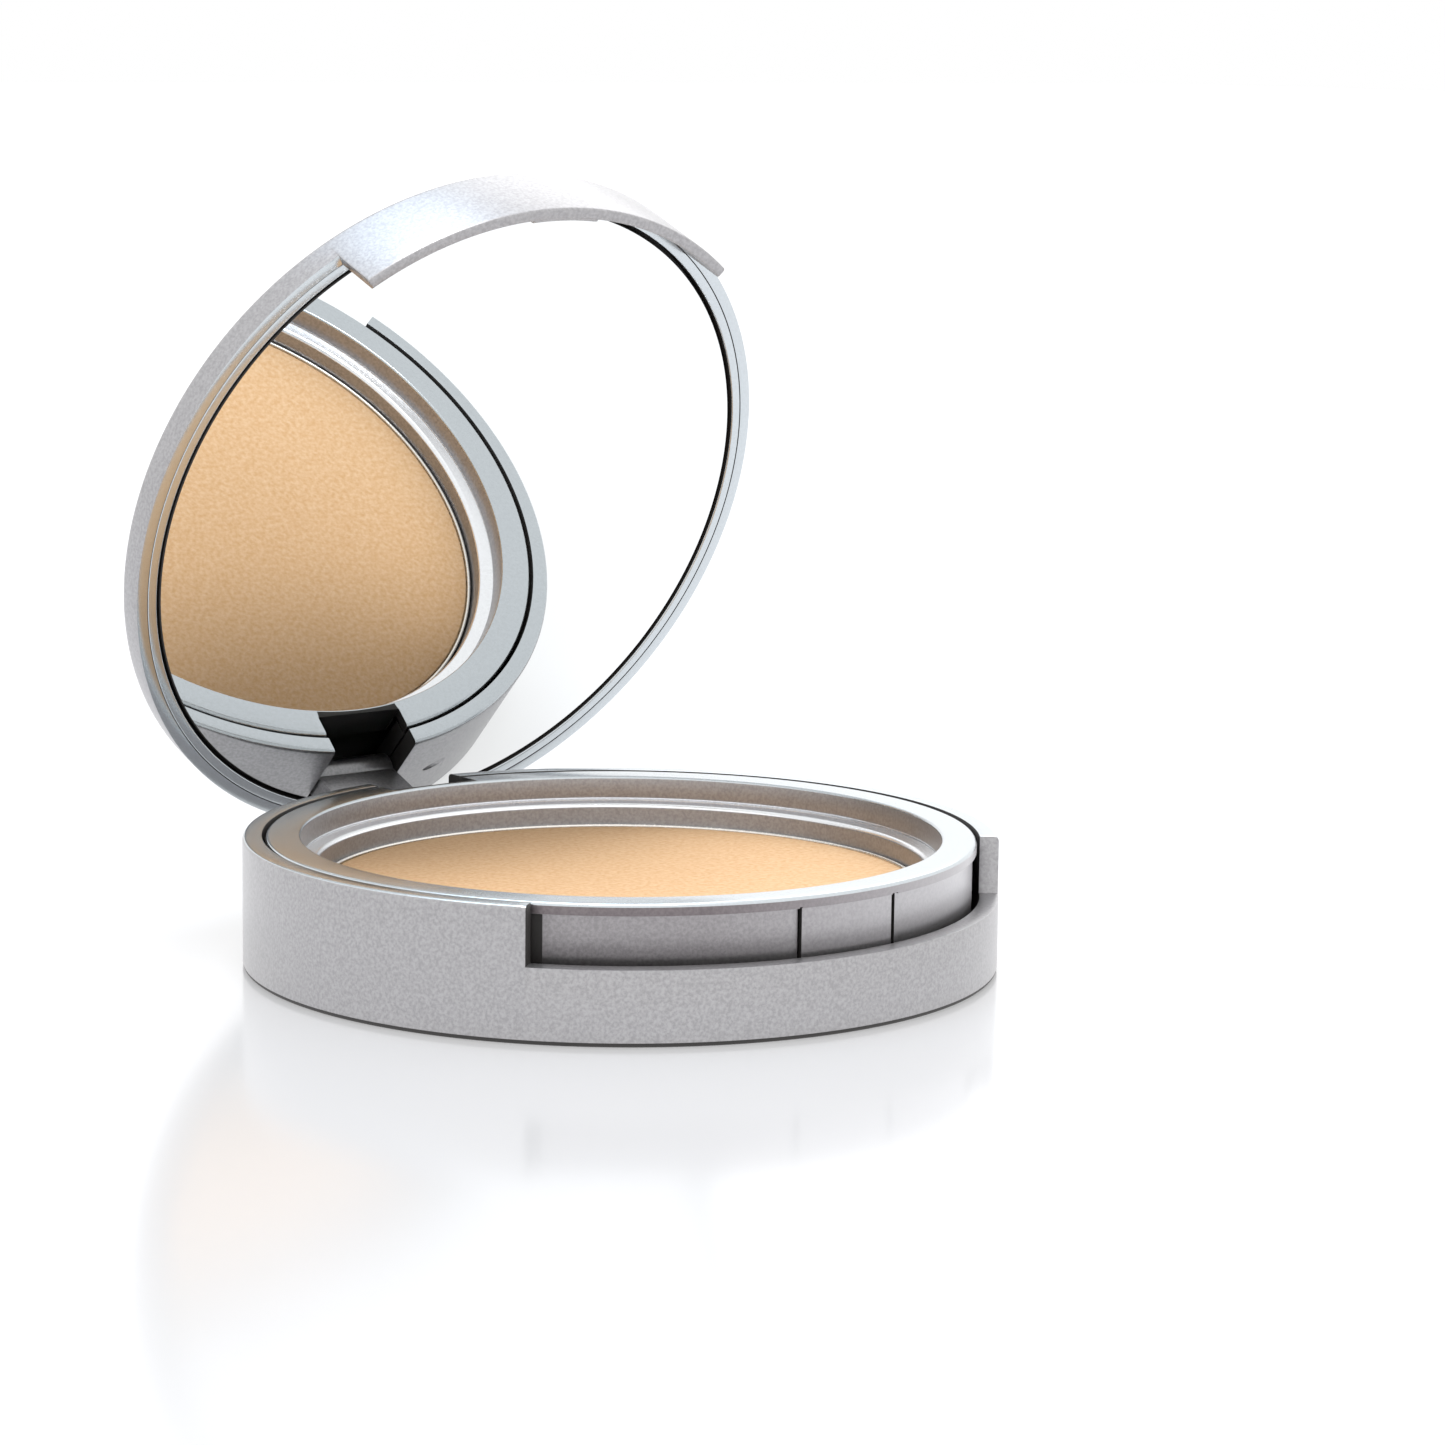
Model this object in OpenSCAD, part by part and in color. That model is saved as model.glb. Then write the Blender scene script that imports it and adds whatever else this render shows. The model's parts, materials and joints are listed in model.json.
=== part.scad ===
// Round pressed-powder compact with a hinged mirror lid.
// The base stands on z = 0 and is centred on the Z axis; its front faces -Y.
// The lid is drawn closed and then turned open about the hinge pin.

/* [Case] */
// Outer diameter of the base
case_d = 65; // [52:0.5:90]
// Height of the base up to its rim
base_h = 11.25; // [9:0.25:18]
// Thickness of the base's side wall
case_wall = 1.65; // [1.2:0.05:2]
// Thickness of the base's floor
floor_t = 1.5; // [1:0.1:2]
// Radius of the rounded edges of the base
edge_r = 0.4; // [0.1:0.05:0.6]
// Angle from the front to each end of the thumb recess
recess_angle = 51; // [40:1:60]

/* [Insert and pan] */
// Width of the rim, from the outside of the base to the top of the funnel
rim_w = 4.95; // [4.5:0.05:7]
// Width of the step inside the funnel
step_w = 1.4; // [1.1:0.05:3]
// Depth of the step below the rim
step_drop = 2.15; // [1.5:0.05:3]
// Thickness of the insert's walls, floor and rim
insert_t = 1; // [0.7:0.05:1.2]
// Depth of the pan's edge below the rim
pan_drop = 4.15; // [3.8:0.05:5]
// Thickness of the pan's sheet metal
pan_t = 0.35; // [0.2:0.05:0.5]
// Thickness of the glue pad under the pan
pan_pad_t = 0.2; // [0.1:0.05:0.4]
// Depth of the powder's surface below the pan's edge
powder_drop = 0.2; // [0.1:0.05:0.6]

/* [Latch] */
// Angle from the front to the slot on each side of the latch tongue
latch_angle = 9.4; // [7:0.1:14]
// Width of the slot on the right of the latch tongue
latch_slot_w = 0.7; // [0.4:0.05:1]
// Width of the slot on the left of the latch tongue
latch_seam_w = 0.25; // [0.2:0.05:1]
// How far the latch tongue stands proud of the insert's skirt
latch_proud = 0.25; // [0.1:0.05:0.3]
// Angle from the front to each end of the catch on the lid's lip
catch_angle = 6.5; // [4:0.1:9]
// Height of the catch
catch_h = 0.7; // [0.4:0.05:1.2]
// How far the catch stands in from the lip
catch_proud = 0.25; // [0.1:0.05:0.3]

/* [Lid] */
// How far the lid's side is set back from the base's side
lid_setback = 0.2; // [0:0.05:0.4]
// Height of the lid's side above its rim
lid_h = 2.81; // [2.5:0.05:5]
// Thickness of the lid's side wall and lip
lid_wall = 1; // [0.8:0.05:1.2]
// Radius of the lid's top edge
lid_edge_r = 0.6; // [0.2:0.05:1]
// Angle from the front to each end of the lip
lip_angle = 36.25; // [25:0.25:45]
// Length of the lip below the lid's rim
lip_h = 4.95; // [4:0.05:6]
// Width of the frame around the mirror
frame_w = 0.95; // [0.6:0.05:3]
// Thickness of the mirror glass
mirror_t = 1.2; // [0.8:0.05:1.5]
// Depth of the mirror's face behind the lid's rim
mirror_drop = 0.15; // [0:0.05:0.4]
// Thickness of the glue pad behind the mirror
mirror_pad_t = 0.25; // [0.1:0.05:0.4]
// Angle between lid and base as the compact stands open
lid_open = 67.74; // [0:0.01:110]

/* [Hinge] */
// Distance of the pin's axis in from the outside of the base
hinge_inset = 1.64; // [1.5:0.02:2.2]
// Distance of the pin's axis below the closed lid's rim
hinge_drop = 6.1; // [5.5:0.05:7]
// Diameter of the hinge pin
pin_d = 1; // [0.8:0.05:1.2]
// Length of the hinge pin
pin_l = 15; // [13:0.5:16]
// Width of the lid's hinge tongue
tongue_w = 8.5; // [6:0.25:10]
// Diameter of the tongue's round end
barrel_d = 3.2; // [2.6:0.05:3.3]

/* [Label] */
// Diameter of the blank label under the base
label_d = 18; // [8:0.5:22]
// Distance of the label's centre behind the base's centre
label_back = 13; // [12:0.5:15]
// Thickness of the label
label_t = 0.15; // [0.08:0.01:0.2]

/* [Clearances] */
// Gap between the rims of the closed lid and the base
rim_gap = 0.25; // [0.2:0.05:0.6]
// Gap between the insert's rim and the base's wall
insert_gap = 0.3; // [0.15:0.05:0.5]
// Gap between the pan and its well
pan_gap = 0.15; // [0.05:0.05:0.3]
// Gap between the mirror and its frame
mirror_gap = 0.35; // [0.1:0.05:0.5]
// Gap between the tip of the lip and the ledge under it
lip_gap = 0.25; // [0.2:0.05:0.6]
// Gap on each side of the hinge tongue
tongue_gap = 0.25; // [0.15:0.05:0.5]
// Gap between the pin and the tongue's bore, on the radius
pin_gap = 0.06; // [0.03:0.01:0.1]
// Gap between the pin and its holes in the base, on the radius
pin_seat_gap = 0.01; // [0:0.005:0.02]
// Gap between parts that only need to miss each other
free_gap = 0.3; // [0.2:0.05:0.5]

/* [Hidden] */
$fn = 96;
over = 1;                                      // how far a cutter runs past what it cuts
arc_steps = 5;                                 // straight steps in a quarter-round edge

case_r = case_d / 2;
wall_r = case_r - case_wall;                   // inside of the base's wall

// Insert and pan
rim_r = case_r - rim_w;                        // top of the funnel
well_r = rim_r - step_w;                       // well that holds the pan
flange_r = wall_r - insert_gap;                // outside of the insert's rim
skirt_step = 0.35;                             // how far the skirt is set back from the rim
skirt_r = flange_r - skirt_step;
skirt_z = floor_t + 0.4;                       // lower edge of the skirt
flange_z = base_h - insert_t;                  // underside of the rim
relief = 0.1;                                  // how far cuts below the rim run up into it
insert_floor_z = floor_t + insert_t;
step_z = base_h - step_drop;
step_slope = 0.15;                             // fall of the step towards the well
step_edge_r = 0.45;                            // rounded edge of the step
funnel_draft = 0.15;                           // how far the funnel's wall leans in
pan_r = well_r - pan_gap;
pan_z = insert_floor_z + pan_pad_t;
pan_top = base_h - pan_drop;
powder_top = pan_top - powder_drop;
powder_edge = 0.25;                            // bevel round the powder's surface

// Snap bead that holds the insert in the base
bead_z = skirt_z + 0.2;
bead_h = 0.7;
bead_r = wall_r + 0.1;
groove_gap = 0.1;

// Latch
latch_r = skirt_r + latch_proud;
latch_root_r = skirt_r - insert_t / 2;         // inside the skirt's wall
latch_top = flange_z + insert_t / 2;           // inside the rim

// Lid, closed
lid_r = case_r - lid_setback;
lid_z = base_h + rim_gap;                      // the lid's rim
lid_top = lid_z + lid_h;
lid_in_r = lid_r - lid_wall;
frame_in_r = lid_in_r - frame_w;
frame_seam = 0.05;                             // seam between frame and side wall
mirror_r = frame_in_r - mirror_gap;
mirror_z = lid_z + mirror_drop;
mirror_bevel = 0.1;
pad_z = mirror_z + mirror_t;
deck_z = pad_z + mirror_pad_t;                 // underside of the lid's top
lip_z = lid_z - lip_h;                         // tip of the lip
lip_edge = 0.25;                               // bevel of the lip's tip
catch_z = lip_z + 0.1;                         // lower edge of the catch
ledge_z = lip_z - lip_gap;                     // floor of the thumb recess

// Hinge
hinge_y = case_r - hinge_inset;
hinge_z = lid_z - hinge_drop;
barrel_r = barrel_d / 2;
slot_w = tongue_w + 2 * tongue_gap;
cheek_w = (pin_l - slot_w) / 2 + 0.5;          // bosses that carry the ends of the pin
cheek_back = 2.2;                              // from the pin's axis to the bosses' inner faces
slot_back = 2.75;                              // from the pin's axis to the slot's inner face
slot_sill = hinge_z - barrel_r - 0.9;          // the tongue stops here with the lid fully open
tongue_front = 0.95;                           // from the pin's axis to the tongue's inner face
bore_run = case_r;                             // the pin's hole leaves the side of the base

// Points of an arc in the profile plane, from angle a0 to angle a1
function arc(cx, cz, r, a0, a1) =
    [for (i = [0 : arc_steps]) let (a = a0 + (a1 - a0) * i / arc_steps) [cx + r * cos(a), cz + r * sin(a)]];

// A profile turned round the Z axis
module turned(points) {
    rotate_extrude() polygon(points);
}

// A profile turned through half degrees to each side of the front
module turned_front(points, half) {
    rotate([0, 0, -90 - half]) rotate_extrude(angle = 2 * half) polygon(points);
}

// A plain ring between two radii and two heights
module ring(r0, r1, z0, z1) {
    turned([[r0, z0], [r1, z0], [r1, z1], [r0, z1]]);
}

// Carries a lid piece from closed to open
module on_lid() {
    translate([0, hinge_y, hinge_z]) rotate([-lid_open, 0, 0]) translate([0, -hinge_y, -hinge_z]) children();
}

// A block across the back, of width w, from y0 outwards and from z0 to z1
module back_block(w, y0, z0, z1) {
    translate([-w / 2, y0, z0]) cube([w, case_r + over - y0, z1 - z0]);
}

// A round bar along the hinge axis, between two x positions
module hinge_bar(r, x0, x1) {
    translate([x0, hinge_y, hinge_z]) rotate([0, 90, 0]) cylinder(h = x1 - x0, r = r, $fn = 48);
}

module base_cup() {
    turned(concat(
        [[0, 0]],
        arc(case_r - edge_r, edge_r, edge_r, -90, 0),
        arc(case_r - edge_r, base_h - edge_r, edge_r, 0, 90),
        [[wall_r, base_h], [wall_r, floor_t], [0, floor_t]]));
}

// The bosses beside the hinge slot stand on the floor and merge with the wall
module hinge_bosses() {
    intersection() {
        back_block(slot_w + 2 * cheek_w, hinge_y - cheek_back, floor_t - over, flange_z - free_gap / 2);
        cylinder(h = base_h, r = wall_r + case_wall / 2);
    }
}

module base_shell() {
    color("silver") difference() {
        union() {
            base_cup();
            hinge_bosses();
        }
        turned_front([[wall_r - over, ledge_z], [case_r + over, ledge_z],
                      [case_r + over, base_h + over], [wall_r - over, base_h + over]], recess_angle);
        ring(wall_r - over, bead_r + groove_gap, bead_z - groove_gap, bead_z + bead_h + groove_gap);
        back_block(slot_w, hinge_y - cheek_back - over, slot_sill, base_h + over);
        hinge_bar(pin_d / 2 + pin_seat_gap, -pin_l / 2 - pin_seat_gap, bore_run);
        translate([0, label_back, -over]) cylinder(h = over + 2 * label_t, d = label_d + free_gap);
    }
}

// The funnel, its rim and its skirt, as one moulding
module insert_body() {
    upper_r = rim_r + insert_t;
    turned(concat(
        [[0, floor_t], [well_r + insert_t, floor_t], [well_r + insert_t, step_z - 2 * insert_t],
         [upper_r, step_z - insert_t], [upper_r, flange_z], [skirt_r - insert_t, flange_z],
         [skirt_r - insert_t, skirt_z], [skirt_r, skirt_z], [skirt_r, bead_z],
         [bead_r, bead_z + bead_h / 3], [bead_r, bead_z + 2 * bead_h / 3], [skirt_r, bead_z + bead_h],
         [skirt_r, flange_z], [flange_r, flange_z]],
        arc(flange_r - edge_r, base_h - edge_r, edge_r, 0, 90),
        arc(rim_r + edge_r / 2, base_h - edge_r / 2, edge_r / 2, 90, 180),
        [[rim_r - funnel_draft, step_z]],
        arc(well_r + step_edge_r, step_z - step_slope - step_edge_r, step_edge_r, 90, 180),
        [[well_r, insert_floor_z], [0, insert_floor_z]]));
}

// One slot of width w beside the latch tongue, at an angle from the front
module latch_slot(angle, w) {
    rotate([0, 0, angle]) translate([-w / 2, -bead_r - over, skirt_z - over])
        cube([w, bead_r + over - skirt_r + 1.5 * insert_t, over + flange_z + relief - skirt_z]);
}

module pan_insert() {
    color("gainsboro") difference() {
        union() {
            insert_body();
            turned_front([[latch_root_r, skirt_z], [latch_r, skirt_z],
                          [latch_r, latch_top], [latch_root_r, latch_top]], latch_angle);
        }
        latch_slot(-latch_angle, latch_seam_w);
        latch_slot(latch_angle, latch_slot_w);
        // the bead stops short of the latch tongue, so that the tongue can flex
        turned_front([[latch_r, skirt_z - over], [bead_r + over, skirt_z - over],
                      [bead_r + over, bead_z + bead_h + over], [latch_r, bead_z + bead_h + over]],
                     latch_angle + 3);
        back_block(slot_w + 2 * (cheek_w + free_gap), hinge_y - cheek_back - free_gap,
                   floor_t, flange_z + relief);
        back_block(slot_w, hinge_y - slot_back, slot_sill, base_h + over);
    }
}

module powder_pan() {
    roll_r = pan_t / 2;
    color("lightgray") turned(concat(
        [[0, pan_z], [pan_r - edge_r, pan_z]],
        arc(pan_r - edge_r, pan_z + edge_r, edge_r, -90, 0),
        arc(pan_r - roll_r, pan_top - roll_r, roll_r, 0, 180),
        [[pan_r - pan_t, pan_z + pan_t], [0, pan_z + pan_t]]));
}

module pressed_powder() {
    r = pan_r - pan_t;
    color("burlywood") turned([[0, pan_z + pan_t], [r, pan_z + pan_t], [r, powder_top - powder_edge],
                               [r - powder_edge, powder_top], [0, powder_top]]);
}

module pan_glue_pad() {
    color("ivory") translate([0, 0, insert_floor_z]) cylinder(h = pan_pad_t, r = pan_r - 2 * insert_t);
}

module base_label() {
    color("white") translate([0, label_back, label_t]) cylinder(h = label_t, d = label_d);
}

module hinge_pin() {
    color("slategray") hinge_bar(pin_d / 2, -pin_l / 2, pin_l / 2);
}

// Lid's top and a side wall as deep as the lip, cut back to the rim all round but for the lip
module lid_cover() {
    difference() {
        turned(concat(
            [[0, deck_z], [lid_in_r, deck_z], [lid_in_r, lip_z],
             [lid_r - lip_edge, lip_z], [lid_r, lip_z + lip_edge]],
            arc(lid_r - lid_edge_r, lid_top - lid_edge_r, lid_edge_r, 0, 90),
            [[0, lid_top]]));
        rotate([0, 0, 180]) turned_front([[lid_in_r - over, lip_z - over], [lid_r + over, lip_z - over],
                                          [lid_r + over, lid_z], [lid_in_r - over, lid_z]], 180 - lip_angle);
    }
}

// Catch on the inside of the lip, rooted in the middle of its wall
module lid_catch() {
    root_r = lid_in_r + lid_wall / 2;
    turned_front([[lid_in_r - catch_proud, catch_z + catch_h / 3], [lid_in_r, catch_z], [root_r, catch_z],
                  [root_r, catch_z + catch_h], [lid_in_r, catch_z + catch_h],
                  [lid_in_r - catch_proud, catch_z + 2 * catch_h / 3]], catch_angle);
}

// Tongue at the back, which drops into the base's slot and turns on the pin
module lid_tongue() {
    root_y = frame_in_r * cos(asin(tongue_w / 2 / frame_in_r));
    intersection() {
        union() {
            back_block(tongue_w, hinge_y - tongue_front, hinge_z, lid_z);
            hinge_bar(barrel_r, -tongue_w / 2, tongue_w / 2);
        }
        cylinder(h = lid_top, r = lid_r);
    }
    intersection() {
        back_block(tongue_w, root_y, lid_z - over / 4, deck_z + over / 4);
        ring(frame_in_r, lid_r - lid_wall / 2, lid_z - over, deck_z + over);
    }
}

module lid_shell() {
    color("silver") on_lid() difference() {
        union() {
            lid_cover();
            lid_catch();
            lid_tongue();
        }
        hinge_bar(pin_d / 2 + pin_gap, -tongue_w, tongue_w);
    }
}

module mirror_frame() {
    color("gainsboro") on_lid() difference() {
        ring(frame_in_r, lid_in_r - frame_seam, lid_z, deck_z);
        back_block(tongue_w + 2 * frame_seam, 0, lid_z - over, deck_z + over);
    }
}

module mirror_glass() {
    color("lightsteelblue") on_lid() turned([
        [0, mirror_z], [mirror_r - mirror_bevel, mirror_z], [mirror_r, mirror_z + mirror_bevel],
        [mirror_r, pad_z], [0, pad_z]]);
}

module mirror_glue_pad() {
    color("ivory") on_lid() translate([0, 0, pad_z]) cylinder(h = mirror_pad_t, r = mirror_r - 2 * lid_wall);
}

base_shell();
pan_insert();
powder_pan();
pressed_powder();
pan_glue_pad();
base_label();
hinge_pin();
lid_shell();
mirror_frame();
mirror_glass();
mirror_glue_pad();
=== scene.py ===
"""A round pressed-powder compact, standing open, built round its packed CAD frame.

The base, the insert, the pan, the powder, the lid and the mirror are turned and cut here as fine
meshes at the CAD's sizes. The pieces that hardly show keep their CAD meshes and get a finish.
"""
import json
import math

import bmesh
import bpy
import numpy as np
from bpy.props import FloatProperty, FloatVectorProperty, IntProperty, PointerProperty
from mathutils import Matrix, Vector


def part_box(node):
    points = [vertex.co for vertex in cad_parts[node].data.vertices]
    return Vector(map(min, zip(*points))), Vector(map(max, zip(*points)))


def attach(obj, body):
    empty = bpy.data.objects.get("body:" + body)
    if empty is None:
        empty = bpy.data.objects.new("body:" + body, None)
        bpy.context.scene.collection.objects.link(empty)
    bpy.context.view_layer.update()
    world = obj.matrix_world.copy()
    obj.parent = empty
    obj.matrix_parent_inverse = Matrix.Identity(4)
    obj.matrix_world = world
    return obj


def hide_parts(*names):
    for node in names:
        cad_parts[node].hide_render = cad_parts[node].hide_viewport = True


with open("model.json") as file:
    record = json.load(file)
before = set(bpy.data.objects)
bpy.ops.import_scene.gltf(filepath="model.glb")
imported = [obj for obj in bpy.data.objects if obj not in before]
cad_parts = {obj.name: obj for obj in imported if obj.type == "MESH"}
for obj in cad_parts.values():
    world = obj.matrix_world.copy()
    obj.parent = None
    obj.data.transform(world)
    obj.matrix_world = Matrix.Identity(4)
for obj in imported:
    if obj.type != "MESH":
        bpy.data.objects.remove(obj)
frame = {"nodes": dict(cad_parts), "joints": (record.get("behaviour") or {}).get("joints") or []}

bl_info = {
    "name": "Powder Compact",
    "version": (1, 0, 0),
    "blender": (4, 5, 0),
    "location": "3D View > Sidebar > Compact",
    "description": "Builds a pressed-powder compact with a mirror lid round its CAD frame",
    "category": "Object",
}

MM = 0.001
OVER = MM                                  # how far a cutting shape passes what it cuts
WELD = 1e-7                                # points closer than this become one point, in metres
LID_WELD = 3e-6                            # the same for the lid, found by trying
NOISE_TO_MM = 1000.0                       # noise is laid out in millimetres
FRONT = -math.pi / 2                       # the compact's front faces -Y
PIN_HOLE_R = 0.51 * MM                     # radius of the pin's hole in the base
PIN_BORE_R = 0.56 * MM                     # radius of the pin's bore in the lid
PIN_END = 7.51 * MM                        # where the pin's hole ends, to the left of the middle
HINGE = frame["joints"][0]
PIVOT = Vector(HINGE["pos_m"])
OPENING = math.radians(-HINGE["range_deg"][0])
TO_REST = (Matrix.Translation(PIVOT) @ Matrix.Rotation(OPENING, 4, Vector(HINGE["axis"]))
           @ Matrix.Translation(-PIVOT))
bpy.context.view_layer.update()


def closed_box(node):
    """Lowest and highest corner of a lid node with the lid closed, in metres."""
    back = TO_REST.inverted()
    points = np.array([back @ v.co for v in frame["nodes"][node].data.vertices])
    return Vector(points.min(0)), Vector(points.max(0))


BASE_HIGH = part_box("base_shell")[1]
PAN_LOW, PAN_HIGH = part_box("powder_pan")
CAKE_LOW, CAKE_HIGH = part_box("pressed_powder")
INSERT_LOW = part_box("pan_insert")[0]
LID_HIGH = closed_box("lid_shell")[1]
RING_LOW, RING_HIGH = closed_box("mirror_frame")
GLASS_LOW, GLASS_HIGH = closed_box("mirror_glass")


# ---------------------------------------------------------------- sizes and colours

def length(name, about, default_mm, low_mm=0.0):
    """A length property given in millimetres and held in metres."""
    return FloatProperty(name=name, description=about, default=default_mm * MM, min=low_mm * MM,
                         subtype="DISTANCE", unit="LENGTH", precision=5)


def angle(name, about, default_deg):
    """An angle property given in degrees and held in radians."""
    return FloatProperty(name=name, description=about, default=math.radians(default_deg),
                         subtype="ANGLE", unit="ROTATION")


def colour(name, about, default):
    """A linear colour property."""
    return FloatVectorProperty(name=name, description=about, default=default, size=3,
                               min=0.0, max=1.0, subtype="COLOR")


class BaseSizes(bpy.types.PropertyGroup):
    """Sizes of the base's shell."""
    wall: length("Wall", "Thickness of the base's side wall", 1.65)
    floor: length("Floor", "Thickness of the base's floor", 1.5)
    edge: length("Edge", "Rounding of the base's top and bottom edges", 0.4)
    recess: angle("Recess", "Angle from the front to each end of the thumb recess", 51)
    ledge: length("Ledge", "Height of the recess's floor", 6.3)
    slot_half: length("Slot", "Half the width of the hinge slot", 4.5)
    slot_back: length("Slot depth", "From the pin's axis to the slot's inner face", 2.75)
    sill: length("Sill", "Height of the hinge slot's lower edge", 2.9)
    boss: length("Boss", "Width of the boss on each side of the slot", 3.5)
    boss_back: length("Boss depth", "From the pin's axis to the bosses' inner faces", 2.2)
    label_d: length("Label", "Diameter of the recess for the label", 18.3)
    label_back: length("Label place", "Distance of the label behind the base's centre", 13)


class InsertSizes(bpy.types.PropertyGroup):
    """Sizes of the moulding that holds the pan."""
    gap: length("Gap", "Gap between the insert's rim and the base's wall", 0.3)
    rim: length("Rim", "From the outside of the base to the top of the funnel", 4.95)
    step: length("Step", "Width of the step in the funnel", 1.4)
    step_drop: length("Step drop", "Depth of the step below the rim", 2.15)
    skin: length("Skin", "Thickness of the insert's walls", 1.0)
    skirt: length("Skirt", "How far the skirt is set back from the rim", 0.35)
    latch: angle("Latch", "Angle from the front to each slot beside the latch tongue", 9.4)
    latch_out: length("Latch tongue", "How far the latch tongue stands out from the skirt", 0.25)
    latch_slot: length("Latch slot", "Width of the slot right of the latch tongue", 0.7)
    latch_seam: length("Latch seam", "Width of the slot left of the latch tongue", 0.25)


class LidSizes(bpy.types.PropertyGroup):
    """Sizes of the lid."""
    wall: length("Wall", "Thickness of the lid's wall and lip", 1.0)
    edge: length("Edge", "Rounding of the lid's top edge", 0.6)
    lip: length("Lip", "Length of the lip below the lid's rim", 4.95)
    lip_angle: angle("Lip angle", "Angle from the front to each end of the lip", 36.25)
    catch: angle("Catch", "Angle from the front to each end of the catch", 6.5)
    catch_high: length("Catch height", "Height of the catch", 0.7)
    catch_out: length("Catch", "How far the catch stands in from the lip", 0.25)
    tongue: length("Tongue", "Width of the hinge tongue", 8.5)
    tongue_front: length("Tongue front", "From the pin's axis to the tongue's inner face", 0.95)
    barrel: length("Barrel", "Diameter of the tongue's round end", 3.2)
    ring: length("Ring", "Width of the frame round the mirror", 0.95)


class Looks(bpy.types.PropertyGroup):
    """Colours of the finishes."""
    case: colour("Case", "Satin silver of the case", (0.350, 0.344, 0.353))
    insert: colour("Insert", "Bright silver of the insert and the mirror's frame",
                   (0.52, 0.555, 0.58))
    powder: colour("Powder", "Pressed powder", (0.98, 0.625, 0.355))
    # step: painted highlight, a paler copy of the insert's silver for the funnel's step
    step: colour("Step", "Silver of the funnel's step", (0.86, 0.87, 0.89))
    # skirt and flange: darker copies of the insert's silver, painted shade in the thumb recess
    skirt: colour("Skirt", "Silver of the insert's skirt, in the thumb recess",
                  (0.29, 0.275, 0.282))
    flange: colour("Flange", "Silver of the edge of the insert's rim", (0.17, 0.148, 0.154))
    # inside: near-black, also used as painted shade in the gaps, at the base's foot and at the
    # recess ends
    inside: colour("Inside", "Uncoated plastic inside the mouldings", (0.022, 0.020, 0.019))
    backdrop: FloatProperty(name="Backdrop", description="Brightness of the backdrop",
                            default=1.0, min=0.0)
    facets: IntProperty(name="Facets", description="Facets round each turned piece",
                        default=240, min=48)


GROUPS = (("compact_base", BaseSizes), ("compact_insert", InsertSizes),
          ("compact_lid", LidSizes), ("compact_looks", Looks))


# ---------------------------------------------------------------- finishes

class Wire:
    """A number socket that takes part in sums; each sign adds its Math node."""

    def __init__(self, finish, socket):
        self.finish = finish
        self.socket = socket

    def sum(self, operation, first, second):
        sockets = {0: first, 1: second}
        return self.finish.node("ShaderNodeMath", {"operation": operation}, sockets).wire("Value")

    def __add__(self, other):
        return self.sum("ADD", self, other)

    def __radd__(self, other):
        return self.sum("ADD", other, self)

    def __sub__(self, other):
        return self.sum("SUBTRACT", self, other)

    def __rsub__(self, other):
        return self.sum("SUBTRACT", other, self)

    def __mul__(self, other):
        return self.sum("MULTIPLY", self, other)

    def __rmul__(self, other):
        return self.sum("MULTIPLY", other, self)


class Part:
    """A node of a finish, with its outputs at hand."""

    def __init__(self, finish, node):
        self.finish = finish
        self.node = node

    def wire(self, output):
        return Wire(self.finish, self.node.outputs[output])


class Finish:
    """The nodes of one material, or of the world."""

    def __init__(self, owner):
        owner.use_nodes = True
        self.owner = owner
        self.tree = owner.node_tree
        self.tree.nodes.clear()

    def node(self, kind, settings=None, sockets=None):
        """Adds a node: first its settings, then the values or links of its sockets."""
        node = self.tree.nodes.new(kind)
        for name, value in (settings or {}).items():
            if name == "stops":
                ramp = node.color_ramp
                while len(ramp.elements) < len(value):
                    ramp.elements.new(1.0)
                for element, (place, shade) in zip(ramp.elements, value):
                    element.position = place
                    rgb = shade if isinstance(shade, tuple) else (shade, shade, shade)
                    element.color = (*rgb, 1.0)
            else:
                setattr(node, name, value)
        for name, value in (sockets or {}).items():
            if isinstance(value, Wire):
                self.tree.links.new(value.socket, node.inputs[name])
            elif isinstance(value, tuple) and len(value) == 3 and node.inputs[name].type == "RGBA":
                node.inputs[name].default_value = (*value, 1.0)
            else:
                node.inputs[name].default_value = value
        return Part(self, node)

    def place(self, scale=(1.0, 1.0, 1.0)):
        """Object coordinates in millimetres, stretched by scale."""
        coordinates = self.node("ShaderNodeTexCoord").wire("Object")
        return self.node("ShaderNodeMapping", {"vector_type": "POINT"}, {
            "Vector": coordinates, "Scale": tuple(NOISE_TO_MM * s for s in scale)}).wire("Vector")

    def noise(self, place, scale, detail=2.0, rough=0.5):
        """Noise between nought and one; scale is in waves per millimetre."""
        return self.node("ShaderNodeTexNoise", {"noise_dimensions": "3D"}, {
            "Vector": place, "Scale": scale, "Detail": detail, "Roughness": rough}).wire("Fac")

    def ramp(self, value, *stops):
        """Value mapped through colour stops."""
        return self.node("ShaderNodeValToRGB", {"stops": stops}, {"Fac": value}).wire("Color")

    def blend(self, mask, first, second, how="MIX"):
        """Two colours mixed by a mask."""
        return self.node("ShaderNodeMix", {"data_type": "RGBA", "blend_type": how}, {
            "Factor": mask, 6: first, 7: second}).wire(2)

    def bump(self, height, depth_mm, strength=1.0):
        """A normal from a height between nought and one, at a depth in millimetres."""
        return self.node("ShaderNodeBump", {}, {
            "Height": height, "Distance": depth_mm * MM, "Strength": strength}).wire("Normal")

    def surface(self, **sockets):
        """The closing shader; socket names have underscores for spaces."""
        shader = self.node("ShaderNodeBsdfPrincipled", {}, {
            name.replace("_", " "): value for name, value in sockets.items()})
        self.node("ShaderNodeOutputMaterial", {}, {"Surface": shader.wire("BSDF")})
        return self.owner


def material(name):
    """An empty finish for a new material."""
    return Finish(bpy.data.materials.new(name))


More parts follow.
